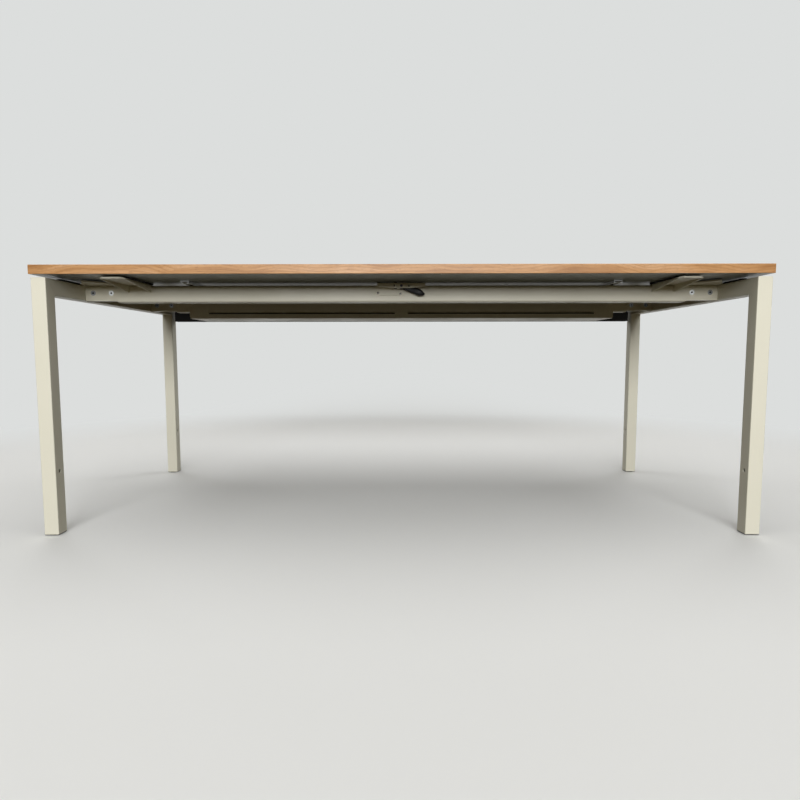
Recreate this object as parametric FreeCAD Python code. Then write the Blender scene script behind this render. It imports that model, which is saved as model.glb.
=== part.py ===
import FreeCAD, Part
import math
import os

from FreeCAD import Vector

# Office desk: a sliding top on two welded end frames that two beams join.
# Millimetres, +X to the right, -Y towards the sitter, +Z up, floor at Z 0.

# Sliding top
TOP_WIDTH = 2000.0
TOP_DEPTH = 900.0
TOP_THICK = 25.0
LAMINATE = 0.8
BAND_THICK = 2.0
BAND_ARRIS = 1.2
TOP_TRAVEL = 160.0

# Welded end frames of square legs and a deeper rail
FRAME_TOP = 712.0
FRAME_DEPTH = 865.0
SIDE_OVERHANG = 2.0
FRONT_OVERHANG = 5.0
TOP_GAP = 8.0
LEG = 40.0
LEG_WALL = 2.0
LEG_ROUND = 2.5
RAIL_HEIGHT = 45.0
LEG_HOLE = 10.0
LEG_HOLE_HEIGHT = 180.0

# Levelling feet and the plugs that hold them
FOOT_PAD = 30.0
FOOT_PAD_THICK = 2.5
FOOT_STEM = 8.0
FOOT_TRAVEL = 15.0
STEM_HOLD = 17.0
PLUG_RIM = 1.0
PLUG_BEVEL = 1.5
PLUG_HEIGHT = 30.0
PLUG_FIT = 0.25
STEM_FIT = 0.05

# Roll-formed beams, open at the back
BEAM_INSET = 191.0
BEAM_DEPTH = 40.0
FRONT_BEAM_HEIGHT = 50.0
REAR_BEAM_HEIGHT = 48.5
BEAM_WALL = 2.0
BEAM_ROUND = 6.0
BEAM_LIP = 13.0
BEAM_END_GAP = 0.5
NOTCH_LENGTH = 97.0
NOTCH_RISE = 10.0
TONGUE_LENGTH = 99.0
TONGUE_DEPTH = 30.0
TONGUE_WALL = 3.0
TONGUE_RISE = 5.0

# Holes for the countersunk screws that pull the beams onto the tongues
BEAM_SCREW = 8.0
BEAM_SCREW_HEAD = 16.0
BEAM_SCREW_DROP = 22.0
BEAM_SCREW_FROM_RAIL = (23.0, 78.0)
SCREW_FIT = 0.1

# Folded support arms and corner lugs on top of the frame
PLATE = 4.0
ARM_WIDTH = 70.0
ARM_REACH = 169.0
ARM_LUG_GAP = 2.0
ARM_DROP = 24.5
ARM_FOLD = 6.0
ARM_HEEL = 18.0
ARM_HEEL_RISE = 2.5
ARM_CORNER = 11.0
FRONT_ARM_FROM_RAIL = 165.0
REAR_ARM_FROM_RAIL = 132.0
LUG_ON_RAIL = 24.0
LUG_ON_BEAM = 22.0
LUG_NECK = 17.0
LUG_NOSE_SIDE = 46.0
LUG_NOSE_REACH = 102.0
LUG_WIDTH = 123.0
LUG_SIDE_REACH = 16.0
LUG_ROUND = 9.0

# Plastic strips and pads that the top slides on
GLIDE_WIDTH = 40.0
GLIDE_LENGTH = 90.0
GLIDE_SETBACK = 24.0
RAIL_PAD_WIDTH = 20.0
RAIL_PAD_LENGTH = 22.0
RAIL_PAD_INSET = 98.0

# Slide rails under the top and the blocks that they run on
SLIDE_FROM_RAIL = 322.0
SLIDE_WIDTH = 24.0
SLIDE_HEIGHT = 7.6
SLIDE_WALL = 2.0
SLIDE_MOUTH = 10.0
SLIDE_FRONT = 139.0
SLIDE_FIT = 0.3
BLOCK_LENGTH = 36.0
STOP_LENGTH = 12.0
STOP_GAP = 0.5

# Lock under the front edge: cover, plate, lever and plunger
SHEET = 2.0
COVER_WIDTH = 143.0
COVER_REACH = 27.0
COVER_SEAT = 30.0
COVER_RISE = 2.7
COVER_LIP = 16.0
COVER_LIP_END = 10.7
COVER_LIP_FLAT = 54.0
COVER_FOLD = 1.5
COVER_HOLE = 8.0
COVER_HOLE_PITCH = 23.0
COVER_HOLE_DROP = 8.2
LOCK_PLATE = 2.5
LOCK_PLATE_LEFT = 78.0
LOCK_PLATE_RIGHT = 12.0
LOCK_PLATE_HEIGHT = 28.0
LOCK_PLATE_TOP = 2.0
LOCK_PLATE_CORNER = 4.0
LEVER_DROP = 6.0
LEVER_ANGLE = -16.0
LEVER_HUB = 13.0
LEVER_PIN = 6.0
LEVER_PIN_HEAD = 10.0
LEVER_PIN_HEAD_THICK = 1.0
LEVER_FIT = 0.05
LEVER_SIDE_PLAY = 0.5
LEVER_BEVEL = 0.28
# Paddle sections from root to tip: distance from the pivot, height and thickness
LEVER_SECTIONS = (
    (2.0, 11.5, 11.0),
    (24.0, 15.4, 11.4),
    (54.0, 21.4, 13.8),
    (65.0, 17.0, 11.4),
    (73.5, 5.0, 5.0),
)
LOCK_ARM = 17.2
LOCK_ARM_HEIGHT = 3.4
LOCK_NOSE = 5.4
LOCK_NOSE_PLAY = 0.3
LOCK_OFF_BEAM = 13.0
PLUNGER = 8.0
PLUNGER_NOTCH = 3.0
PLUNGER_TAIL = 3.0
PLUNGER_FIT = 0.1
LOCK_PAD_THICK = 2.5
LOCK_PAD_GAP = 0.3

# Cable tray on the rear beam, and the duct behind it
TRAY_FROM_RAIL = 148.0
TRAY_SHEET = 1.5
TRAY_FRONT = 17.5
TRAY_BACK = 30.0
TRAY_FOLD = 3.0
TRAY_CORNER = 9.0
TRAY_HOLE = 9.0
TRAY_HOLE_PITCH = 30.0
TRAY_HOLE_FROM_END = 131.0
TRAY_HOLE_FROM_FRONT = 46.0
CABLE_SLOT = 6.0
END_HANGER_WIDTH = 73.0
END_HANGER_RISE = 20.5
MID_HANGER_WIDTH = 50.0
MID_HANGER_HEAD = 72.0
MID_HANGER_RISE = 34.5
HANGER_OVERLAP = 12.0
HANGER_EAR = 12.0
HANGER_EAR_DROP = 19.0
HANGER_EAR_FOOT = 2.0
DUCT_DEPTH = 34.0
DUCT_HEIGHT = 50.0
DUCT_SHEET = 1.5
DUCT_END_GAP = 11.0
DUCT_REAR_INSET = 3.0

# Places that follow from the sizes above
MARGIN = 1.0
X_OUT = TOP_WIDTH / 2 - SIDE_OVERHANG
X_IN = X_OUT - LEG
Y_FRONT = -TOP_DEPTH / 2 + FRONT_OVERHANG
Y_REAR = Y_FRONT + FRAME_DEPTH
Y_MID = (Y_FRONT + Y_REAR) / 2
UNDERSIDE = FRAME_TOP + TOP_GAP
TOP_FACE = UNDERSIDE + TOP_THICK
LEG_FOOT = FOOT_PAD_THICK + PLUG_RIM
FRONT_BEAM = Y_FRONT + BEAM_INSET
REAR_BEAM = Y_REAR - BEAM_INSET - BEAM_DEPTH
BEAM_SHIFT = Vector(0, REAR_BEAM - FRONT_BEAM, 0)
REAR_BEAM_FOOT = FRAME_TOP - REAR_BEAM_HEIGHT
PLATE_TOP = FRAME_TOP + PLATE
SLIDE_FOOT = UNDERSIDE - SLIDE_HEIGHT
PIVOT_Z = FRAME_TOP - LEVER_DROP
LOCK_Y = FRONT_BEAM - LOCK_OFF_BEAM
LOCK_PLATE_FACE = FRONT_BEAM - LOCK_PLATE
COVER_FACE = FRONT_BEAM - COVER_REACH
TRAY_TOP = REAR_BEAM_FOOT - CABLE_SLOT
TRAY_FOOT = TRAY_TOP - TRAY_FRONT
DUCT_BACK = Y_REAR - DUCT_REAR_INSET
DUCT_FRONT = DUCT_BACK - DUCT_DEPTH
TRAY_END = X_IN - TRAY_FROM_RAIL
FRONT_ARM_X = X_IN - FRONT_ARM_FROM_RAIL
REAR_ARM_X = X_IN - REAR_ARM_FROM_RAIL
SLIDE_X = X_IN - SLIDE_FROM_RAIL

parts = {}


# Small tools for shapes


def place(axis, u, v, w):
    """Point at (u, v) of a profile, w along the axis that it is drawn out on."""
    if axis == "X":
        return Vector(w, u, v)
    if axis == "Y":
        return Vector(u, w, v)
    return Vector(u, v, w)


def profile_of(axis, point):
    """The two profile coordinates of a point."""
    if axis == "X":
        return point.y, point.z
    if axis == "Y":
        return point.x, point.z
    return point.x, point.y


def box(x0, x1, y0, y1, z0, z1):
    return Part.makeBox(x1 - x0, y1 - y0, z1 - z0, Vector(x0, y0, z0))


def prism(axis, points, start, end):
    """A polygon drawn out along an axis."""
    corners = [place(axis, u, v, start) for u, v in points]
    face = Part.Face(Part.makePolygon(corners + corners[:1]))
    return face.extrude(place(axis, 0, 0, end - start))


def rounded_wire(point, u0, u1, v0, v1, radius):
    """A rectangle with round corners, its points placed by a function of (u, v)."""
    inset = radius * (1 - math.sqrt(0.5))
    corners = ((u1, v0, -1, 1), (u1, v1, -1, -1), (u0, v1, 1, -1), (u0, v0, 1, 1))
    arcs = []
    for index, (u, v, du, dv) in enumerate(corners):
        along_v = point(u, v + dv * radius)
        along_u = point(u + du * radius, v)
        middle = point(u + du * inset, v + dv * inset)
        ends = (along_u, along_v) if index % 2 == 0 else (along_v, along_u)
        arcs.append((ends[0], middle, ends[1]))
    edges = []
    for index, arc in enumerate(arcs):
        edges.append(Part.makeLine(arcs[index - 1][2], arc[0]))
        edges.append(Part.Arc(*arc).toShape())
    return Part.Wire(edges)


def rounded_bar(axis, u0, u1, v0, v1, radius, start, end):
    """A bar with a round-cornered section along an axis."""
    wire = rounded_wire(lambda u, v: place(axis, u, v, start), u0, u1, v0, v1, radius)
    return Part.Face(wire).extrude(place(axis, 0, 0, end - start))


def tube(axis, u0, u1, v0, v1, radius, wall, start, end):
    """A tube along an axis, with round outer corners."""
    outside = rounded_bar(axis, u0, u1, v0, v1, radius, start, end)
    corners = [(u0 + wall, v0 + wall), (u1 - wall, v0 + wall), (u1 - wall, v1 - wall), (u0 + wall, v1 - wall)]
    return outside.cut(prism(axis, corners, start, end))


def rod(point, direction, diameter, length):
    return Part.makeCylinder(diameter / 2, length, point, direction)


def round_edges(shape, axis, points, radius):
    """Round the straight edges that run along an axis through the given profile points."""
    chosen = []
    for edge in shape.Edges:
        ends = [profile_of(axis, vertex.Point) for vertex in edge.Vertexes]
        for u, v in points:
            if len(ends) == 2 and all(math.hypot(a - u, b - v) < 1e-4 for a, b in ends):
                chosen.append(edge)
    return shape.makeFillet(radius, chosen)


def other_side(shape):
    """The same piece on the right-hand side."""
    return shape.mirror(Vector(0, 0, 0), Vector(1, 0, 0))


def other_end(shape):
    """The same piece at the back of the end frame."""
    return shape.mirror(Vector(0, Y_MID, 0), Vector(0, 1, 0))


def moved(shape, shift):
    copy = shape.copy()
    copy.translate(shift)
    return copy


def at_corners(name, front_left):
    """One piece at each corner of the frame, mirrored both ways."""
    rear_left = other_end(front_left)
    parts["front_left_" + name] = front_left
    parts["front_right_" + name] = other_side(front_left)
    parts["rear_left_" + name] = rear_left
    parts["rear_right_" + name] = other_side(rear_left)


def countersunk(point):
    """The hole for a flat-headed screw through the beam's face and the tongue behind it."""
    inward = Vector(0, 1, 0)
    shank = BEAM_SCREW / 2 + SCREW_FIT
    cone = Part.makeCone(BEAM_SCREW_HEAD / 2 + SCREW_FIT, shank, BEAM_WALL, point, inward)
    depth = BEAM_WALL + TONGUE_WALL + MARGIN
    return cone.fuse(rod(point, inward, 2 * shank, depth)).removeSplitter()


# The top: chipboard between a decor sheet and a grey backing sheet, banded all round


def slide_end():
    """Back end of the slide rails: the rear stop meets its block at full travel."""
    return rear_block_back() + STOP_GAP + TOP_TRAVEL + STOP_LENGTH


def rear_block_back():
    return REAR_BEAM + (BEAM_DEPTH + BLOCK_LENGTH) / 2


def build_top():
    core_x = TOP_WIDTH / 2 - BAND_THICK
    core_y = TOP_DEPTH / 2 - BAND_THICK
    back_sheet = UNDERSIDE + LAMINATE
    decor_sheet = TOP_FACE - LAMINATE
    parts["top_core"] = box(-core_x, core_x, -core_y, core_y, back_sheet, decor_sheet)
    parts["top_backer"] = box(-core_x, core_x, -core_y, core_y, UNDERSIDE, back_sheet)
    parts["top_laminate"] = box(-core_x, core_x, -core_y, core_y, decor_sheet, TOP_FACE)

    edge_x = TOP_WIDTH / 2
    edge_y = TOP_DEPTH / 2
    front = box(-edge_x, edge_x, -edge_y, -core_y, UNDERSIDE, TOP_FACE)
    front = round_edges(front, "X", [(-edge_y, UNDERSIDE), (-edge_y, TOP_FACE)], BAND_ARRIS)
    left = box(-edge_x, -core_x, -core_y, core_y, UNDERSIDE, TOP_FACE)
    rims = [(-edge_x, UNDERSIDE), (-edge_x, TOP_FACE)]
    left = round_edges(left, "Y", rims, BAND_ARRIS)
    parts["front_edge_band"] = front
    parts["rear_edge_band"] = front.mirror(Vector(0, 0, 0), Vector(0, 1, 0))
    parts["left_edge_band"] = left
    parts["right_edge_band"] = other_side(left)


# Slide rails of drawn aluminium, their stops, and the blocks that they run on


def build_slides():
    half = SLIDE_WIDTH / 2
    mouth = SLIDE_MOUTH / 2
    inner = half - SLIDE_WALL
    roof = UNDERSIDE - SLIDE_WALL
    sill = SLIDE_FOOT + SLIDE_WALL
    front = Y_FRONT + SLIDE_FRONT
    back = slide_end()
    right_half = [
        (half, UNDERSIDE), (half, SLIDE_FOOT), (mouth, SLIDE_FOOT),
        (mouth, sill), (inner, sill), (inner, roof),
    ]
    left_half = [(-x, z) for x, z in reversed(right_half)]
    profile = [(x - SLIDE_X, z) for x, z in right_half + left_half]
    left = prism("Y", profile, front, back)
    parts["left_slide_rail"] = left
    parts["right_slide_rail"] = other_side(left)

    block_front = FRONT_BEAM + (BEAM_DEPTH - BLOCK_LENGTH) / 2
    stop_half = inner - SLIDE_FIT
    stops = []
    for start, end in ((front, block_front - STOP_GAP), (back - STOP_LENGTH, back)):
        stop = box(-SLIDE_X - stop_half, -SLIDE_X + stop_half, start, end, sill, roof - SLIDE_FIT)
        stops.append(stop)
        stops.append(other_side(stop))
    parts["slide_rail_stops"] = Part.makeCompound(stops)

    neck = mouth - SLIDE_FIT
    head_low = sill + SLIDE_FIT
    head_high = roof - SLIDE_FIT
    block = [
        (neck, FRAME_TOP), (neck, head_low), (stop_half, head_low), (stop_half, head_high),
        (-stop_half, head_high), (-stop_half, head_low), (-neck, head_low), (-neck, FRAME_TOP),
    ]
    section = [(x - SLIDE_X, z) for x, z in block]
    front_left = prism("Y", section, block_front, block_front + BLOCK_LENGTH)
    rear_left = moved(front_left, BEAM_SHIFT)
    parts["front_left_slide_block"] = front_left
    parts["front_right_slide_block"] = other_side(front_left)
    parts["rear_left_slide_block"] = rear_left
    parts["rear_right_slide_block"] = other_side(rear_left)


# End frames: square tube legs mitred to a deeper rail


def build_end_frames():
    mitre = [(Y_FRONT, FRAME_TOP), (Y_FRONT + LEG, FRAME_TOP - RAIL_HEIGHT)]
    leg = tube("Z", -X_OUT, -X_IN, Y_FRONT, Y_FRONT + LEG, LEG_ROUND, LEG_WALL, LEG_FOOT, FRAME_TOP)
    above = prism("X", mitre + [(Y_FRONT + LEG, FRAME_TOP)], -X_OUT, -X_IN)
    hole_point = Vector(-X_IN - LEG_WALL - MARGIN, Y_FRONT + LEG / 2, LEG_HOLE_HEIGHT)
    hole = rod(hole_point, Vector(1, 0, 0), LEG_HOLE, LEG_WALL + 2 * MARGIN)
    at_corners("leg", leg.cut([above, hole]))

    rail_foot = FRAME_TOP - RAIL_HEIGHT
    rail = tube("Y", -X_OUT, -X_IN, rail_foot, FRAME_TOP, LEG_ROUND, LEG_WALL, Y_FRONT, Y_REAR)
    below = prism("X", mitre + [(Y_FRONT, FRAME_TOP - RAIL_HEIGHT)], -X_OUT, -X_IN)
    rail = rail.cut([below, other_end(below)])
    parts["left_cross_rail"] = rail
    parts["right_cross_rail"] = other_side(rail)


# Plugs pressed into the leg ends, and the levelling feet that screw into them


def build_feet():
    x = -(X_OUT + X_IN) / 2
    y = Y_FRONT + LEG / 2
    up = Vector(0, 0, 1)
    inset = LEG_WALL + PLUG_FIT
    half = LEG / 2
    bevel = half - PLUG_BEVEL
    octagon = [
        (half, bevel), (bevel, half), (-bevel, half), (-half, bevel),
        (-half, -bevel), (-bevel, -half), (bevel, -half), (half, -bevel),
    ]
    rim = prism("Z", [(x + u, y + v) for u, v in octagon], FOOT_PAD_THICK, LEG_FOOT)
    plug_top = LEG_FOOT + PLUG_HEIGHT
    body = box(-X_OUT + inset, -X_IN - inset, Y_FRONT + inset, Y_FRONT + LEG - inset, LEG_FOOT, plug_top)
    depth = PLUG_HEIGHT + PLUG_RIM + 2 * MARGIN
    bore = rod(Vector(x, y, FOOT_PAD_THICK - MARGIN), up, FOOT_STEM + 2 * STEM_FIT, depth)
    plug = rim.fuse(body).removeSplitter().cut(bore)
    plugs = [plug, other_side(plug), other_end(plug), other_side(other_end(plug))]
    parts["leg_plugs"] = Part.makeCompound(plugs)

    radius = FOOT_PAD / math.sqrt(3)
    corners = []
    for index in range(6):
        angle = math.radians(60 * index)
        corners.append((x + radius * math.cos(angle), y + radius * math.sin(angle)))
    pad = prism("Z", corners, 0, FOOT_PAD_THICK)
    stem = rod(Vector(x, y, FOOT_PAD_THICK), up, FOOT_STEM, FOOT_TRAVEL + STEM_HOLD)
    at_corners("foot", pad.fuse(stem).removeSplitter())


# Beams: roll-formed, open at the back, notched where the tongues enter


def beam_screw_points(y_face):
    points = []
    for side in (-1, 1):
        for distance in BEAM_SCREW_FROM_RAIL:
            points.append(Vector(side * (X_IN - distance), y_face, FRAME_TOP - BEAM_SCREW_DROP))
    return points


def beam(y_face, height):
    """A channel open at the back, with its floor taken out where the tongues enter."""
    end = X_IN - BEAM_END_GAP
    back = y_face + BEAM_DEPTH
    foot = FRAME_TOP - height
    corners = [(y_face, foot), (back, foot), (back, FRAME_TOP), (y_face, FRAME_TOP)]
    hollow = [
        (y_face + BEAM_WALL, foot + BEAM_WALL), (back - BEAM_WALL, foot + BEAM_WALL),
        (back - BEAM_WALL, FRAME_TOP - BEAM_WALL), (y_face + BEAM_WALL, FRAME_TOP - BEAM_WALL),
    ]
    outside = round_edges(prism("X", corners, -end, end), "X", [corners[0], corners[3]], BEAM_ROUND)
    inside = round_edges(prism("X", hollow, -end, end), "X", [hollow[0], hollow[3]], BEAM_ROUND - BEAM_WALL)
    mouth = box(-end, end, back - 2 * BEAM_WALL, back + MARGIN, foot + BEAM_LIP, FRAME_TOP - BEAM_LIP)
    cutters = [inside, mouth]
    middle = y_face + BEAM_DEPTH / 2
    for x0, x1 in ((-end - MARGIN, -X_IN + NOTCH_LENGTH), (X_IN - NOTCH_LENGTH, end + MARGIN)):
        cutters.append(box(x0, x1, y_face - MARGIN, middle, foot - MARGIN, foot + NOTCH_RISE))
        cutters.append(box(x0, x1, middle, back + MARGIN, foot - MARGIN, foot + BEAM_LIP + MARGIN))
    cutters += [countersunk(point) for point in beam_screw_points(y_face)]
    return outside.cut(cutters)


def tongues(y_face, height):
    """Stub tubes on the cross rails, inside the beam's two ends."""
    front = y_face + BEAM_WALL
    back = front + TONGUE_DEPTH
    foot = FRAME_TOP - height + TONGUE_RISE
    head = FRAME_TOP - BEAM_ROUND
    wall = TONGUE_WALL
    tip = -X_IN + TONGUE_LENGTH
    outside = box(-X_IN, tip, front, back, foot, head)
    inside = box(-X_IN, tip, front + wall, back - wall, foot + wall, head - wall)
    left = outside.cut([inside] + [countersunk(point) for point in beam_screw_points(y_face)])
    return left, other_side(left)


def build_beams():
    parts["front_beam"] = beam(FRONT_BEAM, FRONT_BEAM_HEIGHT)
    parts["rear_beam"] = beam(REAR_BEAM, REAR_BEAM_HEIGHT)
    parts["front_left_tongue"], parts["front_right_tongue"] = tongues(FRONT_BEAM, FRONT_BEAM_HEIGHT)
    parts["rear_left_tongue"], parts["rear_right_tongue"] = tongues(REAR_BEAM, REAR_BEAM_HEIGHT)


# Support arms folded from sheet, corner lugs, and the pads on them


def support_arm(x, y_face):
    """A channel whose sides taper from the beam to the front edge."""
    half = ARM_WIDTH / 2
    front = y_face - ARM_REACH
    back = y_face + BEAM_DEPTH - LUG_ON_BEAM - ARM_LUG_GAP
    under = PLATE_TOP - PLATE
    foot = PLATE_TOP - ARM_DROP
    channel = tube(
        "Y", -x - half, -x + half, foot - 2 * ARM_FOLD, PLATE_TOP, ARM_FOLD, PLATE, front, back
    )
    taper = [
        (front - MARGIN, under - MARGIN), (front + ARM_CORNER, under - MARGIN),
        (y_face - ARM_HEEL, foot + ARM_HEEL_RISE), (y_face, foot), (y_face, under), (back + MARGIN, under),
        (back + MARGIN, foot - 3 * ARM_FOLD), (front - MARGIN, foot - 3 * ARM_FOLD),
    ]
    cutters = [prism("X", taper, -x - half - MARGIN, -x + half + MARGIN)]
    for side in (-1, 1):
        edge = -x + side * half
        corner = [(edge, front), (edge - side * ARM_CORNER, front), (edge, front + ARM_CORNER)]
        cutters.append(prism("Z", corner, foot, PLATE_TOP))
    return channel.cut(cutters)


def support_glide(x, y_face):
    front = y_face - ARM_REACH + GLIDE_SETBACK
    half = GLIDE_WIDTH / 2
    return box(-x - half, -x + half, front, front + GLIDE_LENGTH, PLATE_TOP, UNDERSIDE)


def build_supports():
    front_arm = support_arm(FRONT_ARM_X, FRONT_BEAM)
    rear_arm = support_arm(REAR_ARM_X, REAR_BEAM)
    parts["front_left_support_arm"] = front_arm
    parts["front_right_support_arm"] = other_side(front_arm)
    parts["rear_left_support_arm"] = rear_arm
    parts["rear_right_support_arm"] = other_side(rear_arm)

    nose = (-X_IN + LUG_NOSE_SIDE, FRONT_BEAM - LUG_NOSE_REACH)
    outline = [
        (-X_IN - LUG_ON_RAIL, FRONT_BEAM + LUG_ON_BEAM), (-X_IN - LUG_ON_RAIL, FRONT_BEAM - LUG_NECK),
        (-X_IN, FRONT_BEAM - LUG_NECK), nose,
        (-X_IN + LUG_WIDTH, FRONT_BEAM - LUG_SIDE_REACH), (-X_IN + LUG_WIDTH, FRONT_BEAM + LUG_ON_BEAM),
    ]
    lug = prism("Z", outline, FRAME_TOP, PLATE_TOP)
    at_corners("corner_lug", round_edges(lug, "Z", [nose], LUG_ROUND))

    glides = [support_glide(FRONT_ARM_X, FRONT_BEAM), support_glide(REAR_ARM_X, REAR_BEAM)]
    parts["support_glides"] = Part.makeCompound(glides + [other_side(glide) for glide in glides])

    middle = -(X_OUT + X_IN) / 2
    half = RAIL_PAD_WIDTH / 2
    front = Y_FRONT + RAIL_PAD_INSET
    pad = box(middle - half, middle + half, front, front + RAIL_PAD_LENGTH, FRAME_TOP, UNDERSIDE)
    pads = [pad, other_side(pad), other_end(pad), other_side(other_end(pad))]
    parts["rail_pads"] = Part.makeCompound(pads)


# Lock of the top: a lever turns on a pin and pulls a sprung plunger off the underside


def build_lock_cover():
    half = COVER_WIDTH / 2
    seat = FRAME_TOP + SHEET
    top = seat + COVER_RISE
    under = top - SHEET
    foot = top - COVER_LIP
    inner = COVER_FACE + SHEET
    step = FRONT_BEAM + BEAM_ROUND
    back = FRONT_BEAM + COVER_SEAT
    section = [
        (back, FRAME_TOP), (back, seat), (step + SHEET, seat), (step + SHEET, top), (COVER_FACE, top),
        (COVER_FACE, foot), (inner, foot), (inner, under), (step, under), (step, FRAME_TOP),
    ]
    cover = prism("X", section, -half, half)
    cover = round_edges(cover, "X", [(COVER_FACE, top)], COVER_FOLD + SHEET)
    cover = round_edges(cover, "X", [(inner, under)], COVER_FOLD)
    flat = COVER_LIP_FLAT / 2
    end = top - COVER_LIP_END
    cutters = []
    for side in (-1, 1):
        wedge = [(side * flat, foot), (side * half, end), (side * half, foot)]
        cutters.append(prism("Y", wedge, COVER_FACE - MARGIN, inner + MARGIN))
    for index in (-1, 0, 1):
        point = Vector(index * COVER_HOLE_PITCH, COVER_FACE - MARGIN, top - COVER_HOLE_DROP)
        cutters.append(rod(point, Vector(0, 1, 0), COVER_HOLE, SHEET + 2 * MARGIN))
    cutters.append(plunger_bar(PLUNGER_FIT, under - MARGIN, top + MARGIN))
    parts["lock_cover"] = cover.cut(cutters)


def plunger_bar(grow, low, high):
    """The plunger's square bar between two heights, or the hole for it."""
    half = PLUNGER / 2 + grow
    return box(-LOCK_ARM - half, -LOCK_ARM + half, LOCK_Y - half, LOCK_Y + half, low, high)


def build_lock_plate():
    top = FRAME_TOP - LOCK_PLATE_TOP
    foot = top - LOCK_PLATE_HEIGHT
    left = -LOCK_PLATE_LEFT
    right = LOCK_PLATE_RIGHT
    cut = LOCK_PLATE_CORNER
    outline = [
        (left, top), (left, foot + cut), (left + cut, foot),
        (right - cut, foot), (right, foot + cut), (right, top),
    ]
    parts["lock_plate"] = prism("Y", outline, LOCK_PLATE_FACE, FRONT_BEAM)


def build_lever():
    forward = Vector(0, -1, 0)
    pin_end = COVER_FACE + SHEET + MARGIN
    pin = rod(Vector(0, LOCK_PLATE_FACE, PIVOT_Z), forward, LEVER_PIN, LOCK_PLATE_FACE - pin_end)
    head_point = Vector(0, pin_end + LEVER_PIN_HEAD_THICK, PIVOT_Z)
    head = rod(head_point, forward, LEVER_PIN_HEAD, LEVER_PIN_HEAD_THICK)
    parts["lever_pin"] = pin.fuse(head).removeSplitter()

    hub_front = pin_end + LEVER_PIN_HEAD_THICK + LEVER_SIDE_PLAY
    hub_back = LOCK_PLATE_FACE - LEVER_SIDE_PLAY
    hub = rod(Vector(0, hub_back, PIVOT_Z), forward, LEVER_HUB, hub_back - hub_front)
    wires = [lever_section((hub_front + hub_back) / 2, *section) for section in LEVER_SECTIONS]
    paddle = Part.makeLoft(wires, True)

    half = LOCK_ARM_HEIGHT / 2
    arm_back = LOCK_Y - PLUNGER / 2 + PLUNGER_NOTCH - LEVER_SIDE_PLAY
    arm = box(-LOCK_ARM, 0, hub_front, arm_back, PIVOT_Z - half, PIVOT_Z + half)
    nose = rod(Vector(-LOCK_ARM, arm_back, PIVOT_Z), forward, LOCK_NOSE, arm_back - hub_front)
    bore_point = Vector(0, hub_back + MARGIN, PIVOT_Z)
    bore = rod(bore_point, forward, LEVER_PIN + 2 * LEVER_FIT, hub_back - hub_front + 2 * MARGIN)
    parts["lock_lever"] = hub.fuse([paddle, arm, nose]).removeSplitter().cut(bore)


def lever_section(y_middle, distance, height, thick):
    """A bevelled rectangle across the lever's sloping axis."""
    angle = math.radians(LEVER_ANGLE)
    out = Vector(math.cos(angle), 0, math.sin(angle))
    across = Vector(-math.sin(angle), 0, math.cos(angle))
    centre = Vector(0, y_middle, PIVOT_Z) + out * distance
    v = height / 2
    u = thick / 2
    bevel = LEVER_BEVEL * min(height, thick)
    corners = [
        (u - bevel, -v), (u, -v + bevel), (u, v - bevel), (u - bevel, v),
        (-u + bevel, v), (-u, v - bevel), (-u, -v + bevel), (-u + bevel, -v),
    ]
    points = [centre + Vector(0, a, 0) + across * b for a, b in corners]
    return Part.makePolygon(points + points[:1])


def build_plunger():
    groove = LOCK_NOSE / 2 + LOCK_NOSE_PLAY
    seat = UNDERSIDE - LOCK_PAD_GAP - LOCK_PAD_THICK
    bar = plunger_bar(0, PIVOT_Z - groove - PLUNGER_TAIL, seat)
    front = LOCK_Y - PLUNGER / 2
    notch = box(
        -LOCK_ARM - PLUNGER, -LOCK_ARM + PLUNGER, front - MARGIN, front + PLUNGER_NOTCH,
        PIVOT_Z - groove, PIVOT_Z + groove,
    )
    parts["lock_plunger"] = bar.cut(notch)
    parts["lock_pad"] = plunger_bar(0, seat, seat + LOCK_PAD_THICK)


# Cable tray hung from the rear beam, and the duct on its back


def build_tray():
    front = REAR_BEAM
    back = DUCT_FRONT
    rear_top = TRAY_FOOT + TRAY_BACK
    outside = [(front, TRAY_TOP), (front, TRAY_FOOT), (back, TRAY_FOOT), (back, rear_top)]
    inside = [
        (back - TRAY_SHEET, rear_top), (back - TRAY_SHEET, TRAY_FOOT + TRAY_SHEET),
        (front + TRAY_SHEET, TRAY_FOOT + TRAY_SHEET), (front + TRAY_SHEET, TRAY_TOP),
    ]
    tray = prism("X", outside + inside, -TRAY_END, TRAY_END)
    tray = round_edges(tray, "X", outside[1:3], TRAY_FOLD)
    tray = round_edges(tray, "X", inside[1:3], TRAY_FOLD - TRAY_SHEET)
    cutters = []
    for side in (-1, 1):
        for index in (0, 1):
            x = side * (TRAY_END - TRAY_HOLE_FROM_END - index * TRAY_HOLE_PITCH)
            point = Vector(x, front + TRAY_HOLE_FROM_FRONT, TRAY_FOOT - MARGIN)
            cutters.append(rod(point, Vector(0, 0, 1), TRAY_HOLE, TRAY_SHEET + 2 * MARGIN))
        end = side * TRAY_END
        inset = end - side * TRAY_CORNER
        start = front - MARGIN
        crown = TRAY_FOOT + TRAY_CORNER
        corner = box(min(end, inset), max(end, inset), start, front + TRAY_FOLD, TRAY_FOOT, crown)
        round_off = rod(Vector(inset, start, crown), Vector(0, 1, 0), 2 * TRAY_CORNER, TRAY_FOLD + MARGIN)
        cutters.append(corner.cut(round_off))
    parts["cable_tray"] = tray.cut(cutters)


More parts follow.
